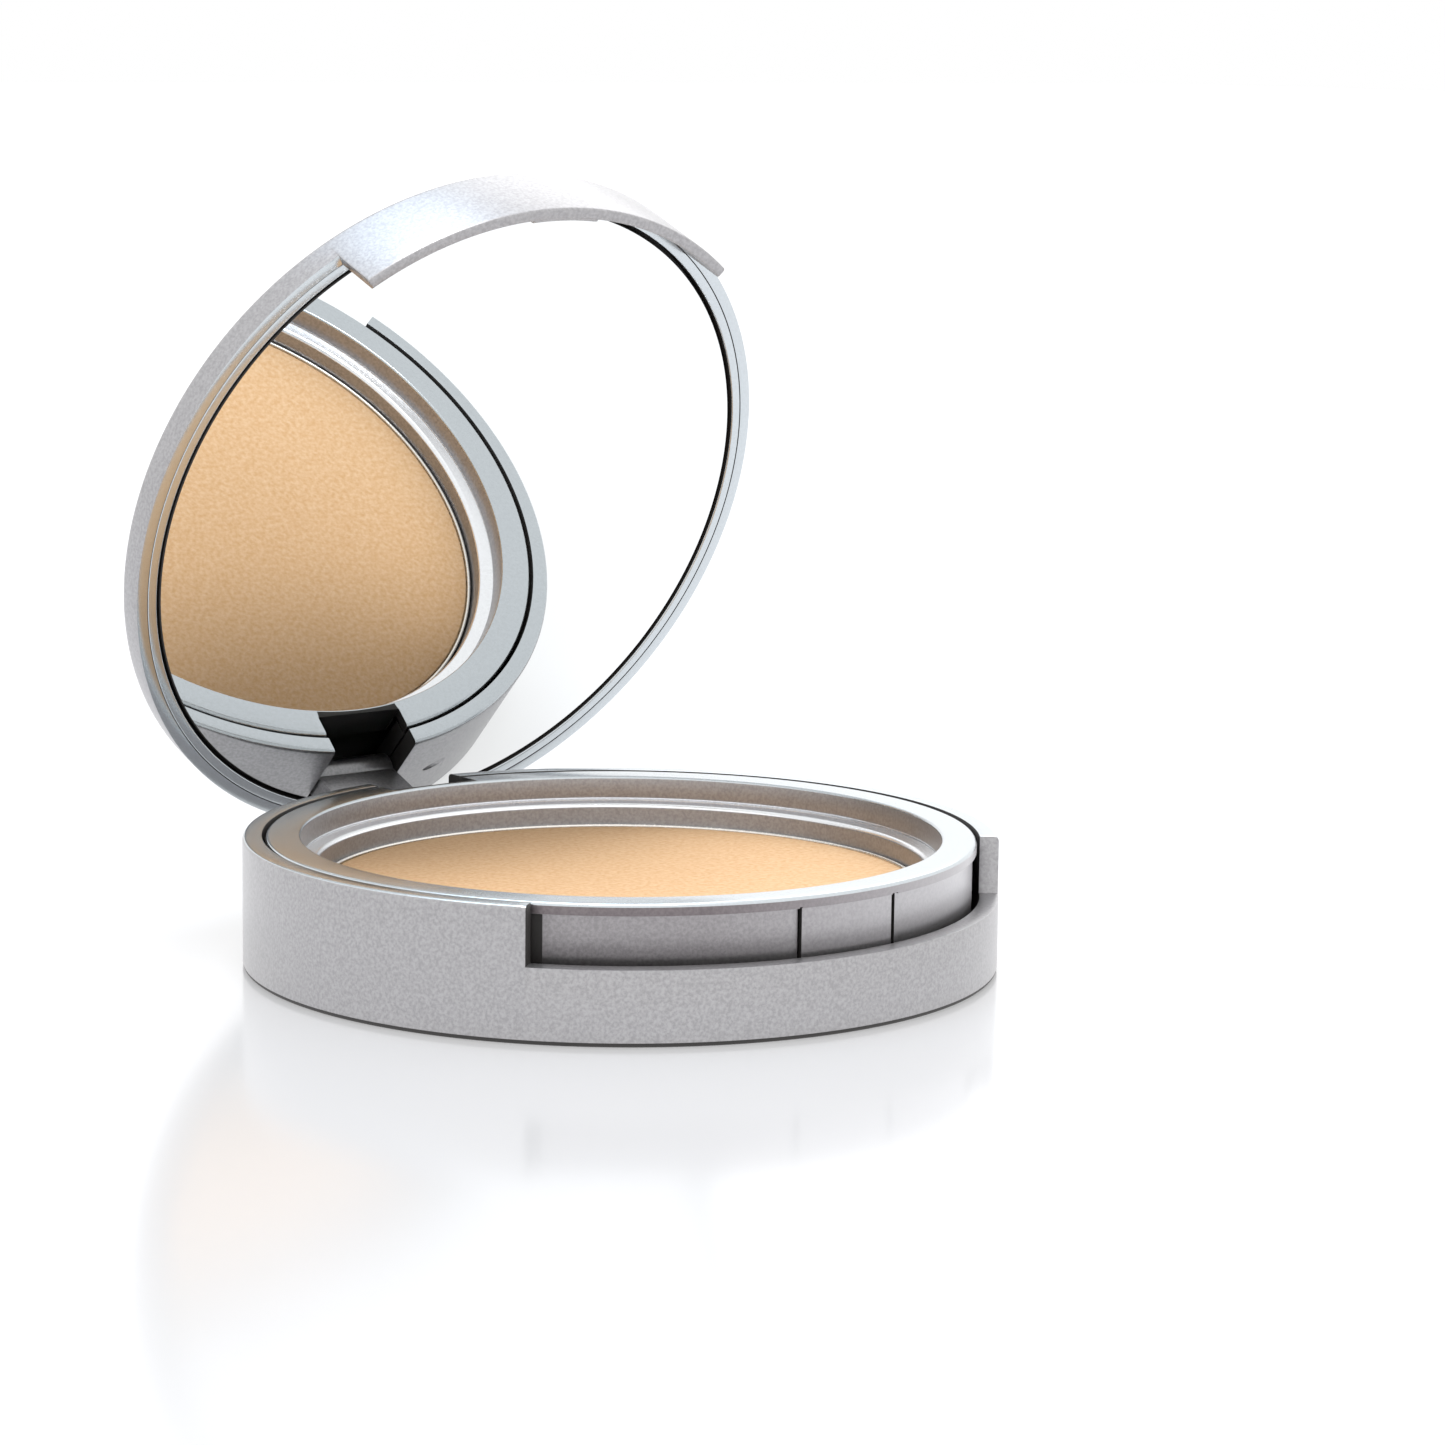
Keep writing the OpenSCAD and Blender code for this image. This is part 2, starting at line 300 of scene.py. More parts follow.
def silver_paint(name, tone, right_painted_light=0.0):
    """Silver paint with a fine flake and a satin lacquer; the last argument paints light on it,
    paler towards the right and darker towards the left.
    """
    f = material(name)
    place = f.place()
    flake = f.noise(place, 3.6, 2.0, 0.6)
    cloud = f.noise(place, 0.35, 3.0)
    lighter = tuple(min(1.0, c * 1.16) for c in tone)
    darker = tuple(c * 0.84 for c in tone)
    paint = f.blend(f.ramp(flake, (0.35, 0.0), (0.65, 1.0)), darker, lighter)
    paint = f.blend(0.10 + cloud * 0.2, paint, tone)
    # painted light: paler towards the right and darker towards the left, as the light falls in the
    # recess
    if right_painted_light:
        painted_light_across = f.node("ShaderNodeSeparateXYZ", {}, {"Vector": place}).wire("X")
        mask = f.ramp(painted_light_across * 0.02 + 0.5, (0.25, 0.0), (0.85, right_painted_light))
        paint = f.blend(mask, paint, (0.9, 0.9, 0.93))
    return f.surface(Base_Color=paint, Metallic=0.80, Roughness=0.30 + flake * 0.08 + cloud * 0.04,
                     Coat_Weight=0.10, Coat_Roughness=0.15, Normal=f.bump(flake, 0.012, 0.5))


def satin_silver():
    """Silver paint of the case."""
    return silver_paint("satin_silver", tuple(bpy.context.scene.compact_looks.case))


def skirt_painted_shade():
    """Painted shade: a darker copy of the insert's silver for its skirt, in the thumb recess."""
    return silver_paint("skirt_painted_shade", tuple(bpy.context.scene.compact_looks.skirt), 0.40)


def flange_painted_shade():
    """Painted shade: a darker copy of the insert's silver for the edge of its rim."""
    return silver_paint("flange_painted_shade", tuple(bpy.context.scene.compact_looks.flange), 0.40)


def bright_coat(name, tone):
    """Bright silver coat over plastic, with a finer flake."""
    f = material(name)
    place = f.place()
    flake = f.noise(place, 3.6, 2.0, 0.6)
    cloud = f.noise(place, 0.4, 2.0)
    coat = f.blend(f.ramp(flake, (0.35, 0.0), (0.65, 1.0)), tuple(c * 0.95 for c in tone), tone)
    return f.surface(Base_Color=coat, Metallic=0.95, Roughness=0.18 + flake * 0.05 + cloud * 0.06,
                     Normal=f.bump(flake, 0.004, 0.3))


def bright_silver():
    """Coat of the insert's rim and the mirror's frame."""
    return bright_coat("bright_silver", tuple(bpy.context.scene.compact_looks.insert))


def step_painted_highlight():
    """Painted highlight: a paler copy of the insert's silver for the funnel's step."""
    return bright_coat("step_painted_highlight", tuple(bpy.context.scene.compact_looks.step))


def dark_inside_and_painted_shade():
    """Near-black plastic inside the mouldings; also painted shade in the gaps between parts, at the
    base's foot and at the recess ends.
    """
    looks = bpy.context.scene.compact_looks
    f = material("dark_inside_and_painted_shade")
    grain = f.noise(f.place(), 4.0, 2.0)
    tone = tuple(looks.inside)
    return f.surface(Base_Color=f.blend(grain, tone, tuple(c * 1.6 for c in tone)),
                     Roughness=0.5 + grain * 0.2, Normal=f.bump(grain, 0.01, 0.3))


def pan_metal():
    """Pressed sheet metal, lightly drawn."""
    f = material("pan_metal")
    drawn = f.noise(f.place((1.0, 1.0, 0.1)), 6.0, 2.0)
    return f.surface(Base_Color=f.blend(drawn, (0.66, 0.63, 0.58), (0.80, 0.78, 0.74)),
                     Metallic=1.0, Roughness=0.18 + drawn * 0.15,
                     Normal=f.bump(drawn, 0.004, 0.3))


def pressed_powder():
    """Fine pressed powder: grains, soft mottling and a few paler specks."""
    looks = bpy.context.scene.compact_looks
    f = material("pressed_powder")
    place = f.place()
    grain = f.noise(place, 2.2, 3.0, 0.65)
    mottle = f.noise(place, 0.35, 3.0)
    specks = f.noise(place, 1.7, 1.0)
    tone = tuple(looks.powder)
    paler = (min(1.0, tone[0] * 1.08), tone[1] * 1.12, tone[2] * 1.22)
    deeper = (tone[0] * 0.84, tone[1] * 0.78, tone[2] * 0.66)
    cake = f.blend(f.ramp(grain, (0.32, 0.0), (0.68, 1.0)), deeper, paler)
    cake = f.blend(0.05 + mottle * 0.3, cake, tone)
    cake = f.blend(f.ramp(specks, (0.70, 0.0), (0.80, 0.35)), cake, paler)
    return f.surface(Base_Color=cake, Roughness=0.85 + mottle * 0.1, Sheen_Weight=0.4,
                     Sheen_Roughness=0.30, Sheen_Tint=(1.0, 0.72, 0.48, 1.0),
                     Specular_IOR_Level=0.25, Normal=f.bump(grain + specks * 0.4, 0.12, 0.6))


def silvered_glass():
    """The mirror's face."""
    f = material("silvered_glass")
    haze = f.noise(f.place(), 0.08, 2.0)
    return f.surface(Base_Color=f.blend(haze, (0.745, 0.755, 0.755), (0.760, 0.770, 0.770)),
                     Metallic=1.0, Roughness=haze * 0.004)


def glue_pad():
    """Double-sided pad, pale and matt."""
    f = material("glue_pad")
    weave = f.noise(f.place(), 1.2, 3.0)
    return f.surface(Base_Color=f.blend(weave, (0.62, 0.58, 0.48), (0.76, 0.73, 0.64)),
                     Roughness=0.8, Normal=f.bump(weave, 0.02, 0.4))


def label_paper():
    """Blank coated paper."""
    f = material("label_paper")
    fibre = f.noise(f.place((1.0, 0.35, 1.0)), 2.5, 4.0)
    return f.surface(Base_Color=f.blend(fibre, (0.78, 0.78, 0.77), (0.86, 0.86, 0.85)),
                     Roughness=0.42 + fibre * 0.1, Normal=f.bump(fibre, 0.005, 0.3))


def drawn_steel():
    """Steel wire with drawing marks along it."""
    f = material("drawn_steel")
    marks = f.noise(f.place((0.06, 1.0, 1.0)), 14.0, 2.0)
    return f.surface(Base_Color=f.blend(marks, (0.45, 0.45, 0.46), (0.62, 0.62, 0.63)),
                     Metallic=1.0, Roughness=0.22 + marks * 0.2,
                     Normal=f.bump(marks, 0.003, 0.4))


FINISHES = {}


def finish(maker):
    """The material that a maker gives, made once."""
    if maker.__name__ not in FINISHES:
        FINISHES[maker.__name__] = maker()
    return FINISHES[maker.__name__]


# ---------------------------------------------------------------- turning and cutting

def arc(centre_r, centre_z, radius, start_deg, end_deg, steps=6):
    """Points of an arc in the profile plane."""
    turns = [math.radians(start_deg + (end_deg - start_deg) * i / steps) for i in range(steps + 1)]
    return [(centre_r + radius * math.cos(t), centre_z + radius * math.sin(t)) for t in turns]


def turning_tree():
    """Geometry Nodes that sweep the object's own outline round the Z axis."""
    name = "Turn Round Axis"
    if name in bpy.data.node_groups:
        return bpy.data.node_groups[name]
    tree = bpy.data.node_groups.new(name, "GeometryNodeTree")
    face = tree.interface
    face.new_socket("Outline", in_out="INPUT", socket_type="NodeSocketGeometry")
    face.new_socket("Facets", in_out="INPUT", socket_type="NodeSocketInt")
    face.new_socket("Axis Radius", in_out="INPUT", socket_type="NodeSocketFloat")
    face.new_socket("Weld", in_out="INPUT", socket_type="NodeSocketFloat")
    face.new_socket("Finish", in_out="INPUT", socket_type="NodeSocketMaterial")
    face.new_socket("Piece", in_out="OUTPUT", socket_type="NodeSocketGeometry")
    nodes, link = tree.nodes, tree.links.new
    inputs = nodes.new("NodeGroupInput")
    circle = nodes.new("GeometryNodeCurvePrimitiveCircle")
    outline = nodes.new("GeometryNodeMeshToCurve")
    sweep = nodes.new("GeometryNodeCurveToMesh")
    weld = nodes.new("GeometryNodeMergeByDistance")
    smooth = nodes.new("GeometryNodeSetShadeSmooth")
    realize = nodes.new("GeometryNodeRealizeInstances")
    paint = nodes.new("GeometryNodeSetMaterial")
    outputs = nodes.new("NodeGroupOutput")
    link(inputs.outputs["Facets"], circle.inputs["Resolution"])
    link(inputs.outputs["Axis Radius"], circle.inputs["Radius"])
    link(inputs.outputs["Outline"], outline.inputs["Mesh"])
    link(circle.outputs["Curve"], sweep.inputs["Curve"])
    link(outline.outputs["Curve"], sweep.inputs["Profile Curve"])
    link(sweep.outputs["Mesh"], weld.inputs["Geometry"])
    link(inputs.outputs["Weld"], weld.inputs["Distance"])
    link(weld.outputs["Geometry"], smooth.inputs["Geometry"])
    link(smooth.outputs["Geometry"], realize.inputs["Geometry"])
    link(realize.outputs["Geometry"], paint.inputs["Geometry"])
    link(inputs.outputs["Finish"], paint.inputs["Material"])
    link(paint.outputs["Geometry"], outputs.inputs["Piece"])
    return tree


def linked(name, mesh):
    """A new object in the scene."""
    piece = bpy.data.objects.new(name, mesh)
    bpy.context.scene.collection.objects.link(piece)
    return piece


def settled(piece):
    """The piece with its modifiers made into plain mesh."""
    bpy.context.view_layer.update()
    graph = bpy.context.evaluated_depsgraph_get()
    shape = bpy.data.meshes.new_from_object(piece.evaluated_get(graph))
    piece.modifiers.clear()
    old = piece.data
    piece.data = shape
    bpy.data.meshes.remove(old)
    shape.name = piece.name
    return piece


def outward(piece):
    """Welds the mesh and points its faces outwards."""
    shape = bmesh.new()
    shape.from_mesh(piece.data)
    weld = LID_WELD if piece.name == "lid_shell_skin" else WELD
    bmesh.ops.remove_doubles(shape, verts=shape.verts, dist=weld)
    bmesh.ops.dissolve_degenerate(shape, edges=shape.edges, dist=weld)
    bmesh.ops.recalc_face_normals(shape, faces=shape.faces)
    shape.to_mesh(piece.data)
    shape.free()
    return piece


def turned(name, outline, look, facets=None):
    """A closed outline of (radius, height) points, turned round the Z axis."""
    looks = bpy.context.scene.compact_looks
    axis_radius = 10 * MM
    shape = bpy.data.meshes.new(name)
    points = [(r - axis_radius, -z, 0.0) for r, z in outline]
    edges = [(i, (i + 1) % len(points)) for i in range(len(points))]
    shape.from_pydata(points, edges, [])
    piece = linked(name, shape)
    tree = turning_tree()
    modifier = piece.modifiers.new("Turn", "NODES")
    modifier.node_group = tree
    values = {"Facets": facets or looks.facets, "Axis Radius": axis_radius,
              "Weld": WELD, "Finish": look}
    for item in tree.interface.items_tree:
        if item.item_type == "SOCKET" and item.in_out == "INPUT" and item.name in values:
            modifier[item.identifier] = values[item.name]
    return outward(settled(piece))


def block(name, low, high):
    """A plain cutting block between two corners."""
    shape = bmesh.new()
    bmesh.ops.create_cube(shape, size=1.0)
    for v in shape.verts:
        v.co = Vector(l + (h - l) * (c + 0.5) for l, h, c in zip(low, high, v.co))
    mesh = bpy.data.meshes.new(name)
    shape.to_mesh(mesh)
    shape.free()
    return linked(name, mesh)


def wedge(name, r0, r1, z0, z1, half, middle=FRONT, steps=48):
    """A curved cutting block: a part of a ring, half an angle to each side of the middle."""
    turns = [middle + half * (2 * i / steps - 1) for i in range(steps + 1)]
    corners = [(r0, z0), (r1, z0), (r1, z1), (r0, z1)]
    verts = [(r * math.cos(t), r * math.sin(t), z) for t in turns for r, z in corners]
    faces = [(0, 1, 2, 3), tuple(4 * steps + i for i in (3, 2, 1, 0))]
    for i in range(steps):
        for j in range(4):
            k = (j + 1) % 4
            faces.append((4 * i + k, 4 * i + j, 4 * i + 4 + j, 4 * i + 4 + k))
    mesh = bpy.data.meshes.new(name)
    mesh.from_pydata(verts, [], faces)
    return outward(linked(name, mesh))


def rod(name, radius, x0, x1, facets=48):
    """A round bar along the hinge axis."""
    shape = bmesh.new()
    bmesh.ops.create_cone(shape, cap_ends=True, segments=facets,
                          radius1=radius, radius2=radius, depth=x1 - x0)
    middle = Matrix.Translation(Vector(((x0 + x1) / 2, PIVOT.y, PIVOT.z)))
    place = middle @ Matrix.Rotation(math.pi / 2, 4, "Y")
    bmesh.ops.transform(shape, matrix=place, verts=shape.verts)
    mesh = bpy.data.meshes.new(name)
    shape.to_mesh(mesh)
    shape.free()
    return linked(name, mesh)


def combine(piece, tool, how="DIFFERENCE"):
    """Cuts the piece with a tool, or adds the tool to it, and deletes the tool."""
    modifier = piece.modifiers.new("Combine", "BOOLEAN")
    modifier.operation = how
    modifier.solver = "EXACT"
    modifier.object = tool
    settled(piece)
    mesh = tool.data
    bpy.data.objects.remove(tool)
    bpy.data.meshes.remove(mesh)
    return outward(piece)


def softened(piece, width, steps=2, limit=35.0):
    """Rounds the sharp edges and shades the rest smooth."""
    modifier = piece.modifiers.new("Soften", "BEVEL")
    modifier.width = width
    modifier.segments = steps
    modifier.limit_method = "ANGLE"
    modifier.angle_limit = math.radians(limit)
    modifier.use_clamp_overlap = True
    modifier.miter_outer = "MITER_ARC"
    settled(piece)
    return shaded(outward(piece))


def shaded(piece, limit=32.0):
    """Smooth shading, broken at what is still a sharp edge."""
    piece.data.shade_smooth()
    piece.data.set_sharp_from_angle(angle=math.radians(limit))
    return piece


def finishes(piece, looks, choose):
    """Gives each face one of the finishes; choose reads its centre and normal and returns which."""
    piece.data.materials.clear()
    for look in looks:
        piece.data.materials.append(finish(look))
    for face in piece.data.polygons:
        face.material_index = int(choose(face.center, face.normal))
    return piece


def joined(piece, body, slot, *nodes):
    """Puts the finished piece on its body in place of its CAD nodes."""
    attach(piece, body)
    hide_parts(*nodes)
    return piece


def opened(piece):
    """Carries a lid piece's mesh from closed to where the lid rests."""
    piece.data.transform(TO_REST)
    return piece


# ---------------------------------------------------------------- pieces

RECESS_SHADE_IN = math.radians(1.7)        # the skirt is dark from here inside each recess end
RECESS_SHADE_OUT = math.radians(1.5)       # to here past it


def build_base_shell():
    s = bpy.context.scene.compact_base
    r, top = BASE_HIGH.x, BASE_HIGH.z
    wall = r - s.wall
    boss_sink = 0.2 * MM                   # how far the bosses go into the floor
    boss_root = 0.5 * MM                   # and into the wall
    boss_drop = 1.15 * MM                  # how far they end below the base's top
    softening = 0.13 * MM
    label_deep = 0.3 * MM
    outline = ([(0.0, 0.0)] + arc(r - s.edge, s.edge, s.edge, -90, 0)
               + arc(r - s.edge, top - s.edge, s.edge, 0, 90)
               + [(wall, top), (wall, s.floor), (0.0, s.floor)])
    shell = turned("base_shell_skin", outline, finish(satin_silver))
    combine(shell, wedge("recess", wall - OVER, r + OVER, s.ledge, top + OVER, s.recess))
    boss_x = s.slot_half + s.boss
    boss_y = math.sqrt((wall + boss_root) ** 2 - boss_x ** 2)
    boss_low = Vector((-boss_x, PIVOT.y - s.boss_back, s.floor - boss_sink))
    boss_high = Vector((boss_x, boss_y, top - boss_drop))
    combine(shell, block("bosses", boss_low, boss_high), "UNION")
    slot_low = Vector((-s.slot_half, PIVOT.y - s.boss_back - OVER, s.sill))
    combine(shell, block("slot", slot_low, Vector((s.slot_half, r + OVER, top + OVER))))
    softened(shell, softening)
    combine(shell, rod("pin_hole", PIN_HOLE_R, -PIN_END, r))
    label_r = s.label_d / 2
    label = turned("label_recess",
                   [(0, -OVER), (label_r, -OVER), (label_r, label_deep), (0, label_deep)],
                   finish(satin_silver), 96)
    label.data.transform(Matrix.Translation((0, s.label_back, 0)))
    combine(shell, label)

    def choose(c, n):
        """Painted shade at the foot, the recess's left end, the lining and the slot; a painted
        highlight on the top rim.
        """
        radius = math.hypot(c.x, c.y)
        # painted shadow: a dark band round the bottom edge, where it meets the table
        foot = 0.01 * MM < c.z < 0.42 * MM and radius > r - s.edge
        left_front = c.x < 0 and c.y < 0 and c.z > s.ledge + 0.15 * MM
        # painted shade: only the recess's left end face is dark
        left_end = left_front and n.x > 0.3 and n.y < -0.3
        lining = radius < wall + 0.02 * MM and 0.5 * MM < c.z < top - 0.5 * MM and n.z > -0.5
        in_slot = abs(c.x) < s.slot_half + 0.1 * MM and c.y > 0 and c.z > s.sill - 0.2 * MM
        if foot or left_end or lining or (in_slot and radius < r - 0.25 * MM):
            return 1
        # painted highlight: the flat top of the wall gets the brighter silver
        return 2 if n.z > 0.7 and c.z > top - 0.15 * MM else 0

    finishes(shell, (satin_silver, dark_inside_and_painted_shade, bright_silver), choose)
    return joined(shaded(shell), "base", "case_silver", "base_shell")


def build_insert():
    s = bpy.context.scene.compact_insert
    b = bpy.context.scene.compact_base
    r, top = BASE_HIGH.x, BASE_HIGH.z
    wall = r - b.wall
    flange = wall - s.gap
    skirt = flange - s.skirt
    rim = r - s.rim
    well = rim - s.step
    low = INSERT_LOW.z
    skirt_low = low + 0.4 * MM             # the skirt stops short of the base's floor
    under = top - s.skin
    step_z = top - s.step_drop
    floor = low + s.skin
    play = 0.3 * MM                        # room round the base's bosses
    into_rim = 0.1 * MM                    # how far the cuts below the rim go into it
    softening = 0.10 * MM
    outer_round, funnel_round = 0.4 * MM, 0.22 * MM
    step_out, step_round = 0.15 * MM, 0.25 * MM
    well_round = 0.45 * MM
    well_round_drop = 0.6 * MM
    outline = ([(0.0, low), (well + s.skin, low), (well + s.skin, step_z - 2 * s.skin),
                (rim + s.skin, step_z - s.skin), (rim + s.skin, under), (skirt - s.skin, under),
                (skirt - s.skin, skirt_low), (skirt, skirt_low), (skirt, under), (flange, under)]
               + arc(flange - outer_round, top - outer_round, outer_round, 0, 90)
               + arc(rim + funnel_round, top - funnel_round, funnel_round, 90, 180)
               + arc(rim - step_out + step_round, step_z + step_round, step_round, 180, 250, 4)
               + arc(well + well_round, step_z - well_round_drop, well_round, 95, 180)
               + [(well, floor), (0.0, floor)])
    insert = turned("insert_skin", outline, finish(bright_silver))
    tongue = skirt + s.latch_out
    latch = wedge("latch", skirt - s.skin / 2, tongue, skirt_low, under + s.skin / 2,
                  s.latch, steps=24)
    combine(insert, latch, "UNION")
    for turn, width in ((-s.latch, s.latch_seam), (s.latch, s.latch_slot)):
        cutter = block("latch_slot", Vector((-width / 2, -wall - OVER, skirt_low - OVER)),
                       Vector((width / 2, -skirt + 1.5 * s.skin, under + into_rim)))
        cutter.data.transform(Matrix.Rotation(turn, 4, "Z"))
        combine(insert, cutter)
    room = b.slot_half + b.boss + play
    combine(insert, block("boss_room", Vector((-room, PIVOT.y - b.boss_back - play, low)),
                          Vector((room, r + OVER, under + into_rim))))
    combine(insert, block("slot", Vector((-b.slot_half, PIVOT.y - b.slot_back, b.sill)),
                          Vector((b.slot_half, r + OVER, top + OVER))))
    softened(insert, softening)

    def choose(c, n):
        """Bright on top; painted shade where it is hidden, at the recess ends, on the skirt, edge
        and funnel walls; a painted highlight on the step.
        """
        radius = math.hypot(c.x, c.y)
        in_slot = c.y > 0 and abs(c.x) < b.slot_half + 0.05 * MM
        cut_face = in_slot and radius > rim + 0.2 * MM
        away = c.x * n.x + c.y * n.y > 0
        outside_funnel = well + 0.3 * MM < radius < skirt - 0.2 * MM and away and n.z < 0.5
        behind_skirt = rim + s.skin < radius < skirt - 0.2 * MM and c.z < under + 0.1 * MM
        if cut_face or outside_funnel or behind_skirt:
            return 1
        if radius > skirt - 0.15 * MM and c.z < top - 0.3 * MM:
            past_end = abs(math.atan2(c.x, -c.y)) - b.recess
            # painted shadow: a dark strip on the skirt at each end of the recess
            if -RECESS_SHADE_IN < past_end < RECESS_SHADE_OUT and c.z < under:
                return 1
            # painted shade: darker silver on the flange's edge and on the skirt
            return 3 if c.z > under + 0.1 * MM else 2
        if radius < rim + 0.1 * MM and c.z < top - 0.3 * MM:
            # painted shade: the case's darker silver on the funnel's walls; painted highlight on
            # the step
            return 4 if abs(n.z) < 0.35 else 5
        return 0

    looks = (bright_silver, dark_inside_and_painted_shade, skirt_painted_shade, flange_painted_shade, satin_silver, step_painted_highlight)
    finishes(insert, looks, choose)
    return joined(shaded(insert), "base", "insert_silver", "pan_insert")


def build_pan():
    r, low, top = PAN_HIGH.x, PAN_LOW.z, PAN_HIGH.z
    sheet = r - CAKE_HIGH.x
    corner = 0.4 * MM
    outline = ([(0.0, low)] + arc(r - corner, low + corner, corner, -90, 0)
               + arc(r - sheet / 2, top - sheet / 2, sheet / 2, 0, 180, 8)
               + [(r - sheet, low + sheet), (0.0, low + sheet)])
    pan = turned("pan_skin", outline, finish(pan_metal))
    return joined(shaded(pan), "base", "pan_metal", "powder_pan")


def build_powder():
    r, low, top = CAKE_HIGH.x, CAKE_LOW.z, CAKE_HIGH.z
    bevel = 0.25 * MM
    rings = 40
    flat = [((r - bevel) * (1 - i / rings), top) for i in range(1, rings)]
    outline = ([(0.0, low), (r, low)] + arc(r - bevel, top - bevel, bevel, 0, 90)
               + flat + [(0.0, top)])
    cake = turned("powder_cake", outline, finish(pressed_powder))
    return joined(shaded(cake), "base", "powder", "pressed_powder")


def build_lid_shell():
    s = bpy.context.scene.compact_lid
    r, top = LID_HIGH.x, LID_HIGH.z
    rim_z, deck = RING_LOW.z, RING_HIGH.z
    inner = r - s.wall
    lip_z = rim_z - s.lip
    lip_in, lip_out = 0.2 * MM, 0.3 * MM   # roundings of the lip's end
    softening, catch_softening = 0.12 * MM, 0.2 * MM
    catch_z = lip_z + 0.1 * MM
    skin = 0.01 * MM                       # the tongue stays this far inside the lid's side
    below_top = 0.7 * MM                   # and this far below its top
    outline = ([(0.0, deck), (inner, deck)]
               + arc(inner + lip_in, lip_z + lip_in, lip_in, 180, 270, 4)
               + arc(r - lip_out, lip_z + lip_out, lip_out, -90, 0, 4)
               + arc(r - s.edge, top - s.edge, s.edge, 0, 90, 8) + [(0.0, top)])
    shell = turned("lid_shell_skin", outline, finish(satin_silver))
    combine(shell, wedge("all_but_lip", inner - OVER, r + OVER, lip_z - OVER, rim_z,
                         math.pi - s.lip_angle, math.pi / 2, 192))
    tongue = block("tongue", Vector((-s.tongue / 2, PIVOT.y - s.tongue_front, PIVOT.z)),
                   Vector((s.tongue / 2, r + OVER, rim_z + 0.3 * MM)))
    combine(tongue, rod("barrel", s.barrel / 2, -s.tongue / 2, s.tongue / 2, 64), "UNION")
    root_y = math.sqrt((inner - s.ring) ** 2 - (s.tongue / 2) ** 2)
    combine(tongue, block("root_room", Vector((-s.tongue, 0, rim_z)),
                          Vector((s.tongue, root_y, top))))
    root = block("root", Vector((-s.tongue / 2, root_y, rim_z - 0.5 * MM)),
                 Vector((s.tongue / 2, r - 0.4 * MM, deck + 0.2 * MM)))
    combine(tongue, root, "UNION")
    limit = turned("limit", [(0, 0), (r - skin, 0), (r - skin, top - below_top),
                             (0, top - below_top)], finish(satin_silver))
    combine(tongue, limit, "INTERSECT")
    combine(shell, tongue, "UNION")
    softened(shell, softening)
    combine(shell, rod("pin_bore", PIN_BORE_R, -s.tongue, s.tongue))
    catch = wedge("catch", inner - s.catch_out, inner + s.wall / 2, catch_z,
                  catch_z + s.catch_high, s.catch, steps=16)
    softened(catch, catch_softening, 3)
    combine(shell, catch, "UNION")

    def inside(c, n):
        radius = math.hypot(c.x, c.y)
        # painted shade: the lid's inner wall by the mirror is dark, to keep the gap black
        if rim_z + 0.25 * MM < c.z < deck + 0.1 * MM and radius < inner + 0.05 * MM:
            return 1
        # painted highlight: the lid's rim face gets the brighter silver
        return 2 if n.z < -0.7 and c.z > rim_z - 0.05 * MM else 0

    finishes(shell, (satin_silver, dark_inside_and_painted_shade, bright_silver), inside)
    return joined(opened(shaded(shell)), "lid", "case_silver", "lid_shell")


def build_mirror_frame():
    s = bpy.context.scene.compact_lid
    outer, low, high = RING_HIGH.x, RING_LOW.z, RING_HIGH.z
    inner = LID_HIGH.x - s.wall - s.ring
    outer_round, inner_round = 0.1 * MM, 0.15 * MM
    outline = ([(inner, high), (outer, high)]
               + arc(outer - outer_round, low + outer_round, outer_round, 0, -90, 3)
               + arc(inner + inner_round, low + inner_round, inner_round, -90, -180, 4))
    ring = turned("mirror_ring", outline, finish(bright_silver))
    half = s.tongue / 2 + 0.05 * MM
    combine(ring, block("tongue_room", Vector((-half, 0, low - OVER)),
                        Vector((half, outer + OVER, high + OVER))))

    def inside(c, n):
        # painted shade: the frame's inner face is dark, to keep the gap round the mirror black
        radius = math.hypot(c.x, c.y)
        return c.z > low + 0.2 * MM and radius < (inner + outer) / 2

    finishes(ring, (bright_silver, dark_inside_and_painted_shade), inside)
    return joined(opened(shaded(ring)), "lid", "insert_silver", "mirror_frame")


def build_mirror():
    r, low, high = GLASS_HIGH.x, GLASS_LOW.z, GLASS_HIGH.z
    bevel = 0.1 * MM
    outline = [(0.0, low), (r - bevel, low), (r, low + bevel), (r, high), (0.0, high)]
    glass = turned("mirror_disc", outline, finish(silvered_glass), 360)
    # painted shade: the glass's edge and back are dark, to keep the gap round it black
    finishes(glass, (silvered_glass, dark_inside_and_painted_shade), lambda c, n: n.z > -0.9)
    return joined(opened(shaded(glass, 20.0)), "lid", "mirror", "mirror_glass")


def finish_cad_nodes():
    """Finishes the pieces that keep their CAD meshes."""
    # the mirror's pad is dark, painted shade under the gap round the mirror
    looks = {"pan_glue_pad": glue_pad, "mirror_glue_pad": dark_inside_and_painted_shade,
             "base_label": label_paper, "hinge_pin": drawn_steel}
    for node, maker in looks.items():
        mesh = frame["nodes"][node].data
        mesh.materials.clear()
        mesh.materials.append(finish(maker))


# ---------------------------------------------------------------- stage

